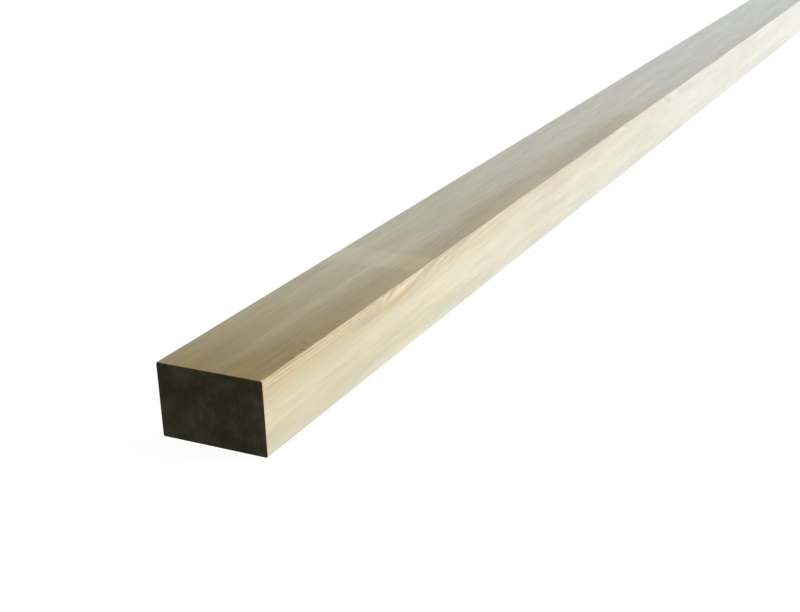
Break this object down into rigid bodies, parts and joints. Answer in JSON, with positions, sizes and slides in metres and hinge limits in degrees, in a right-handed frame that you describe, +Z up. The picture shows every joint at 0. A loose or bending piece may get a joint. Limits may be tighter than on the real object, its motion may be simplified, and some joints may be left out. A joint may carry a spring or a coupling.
{
  "type": "timber batten",
  "caption": "Straight length of planed softwood with a rectangular section, eased long edges and square sawn ends, used as framing, counter batten or packing.",
  "frame": {"origin": "centre of the underside, on the floor that the batten lies on", "axes": "+X along the length away from the dark near end, +Y across the width to the hidden side, +Z up through the thickness"},
  "size_m": [1.8, 0.038, 0.025],
  "materials": {
    "timber": "planed bare softwood, pale straw, with dark weathered end grain"
  },
  "bodies": {
    "root": {"batten": "timber"}
  },
  "joints": []
}
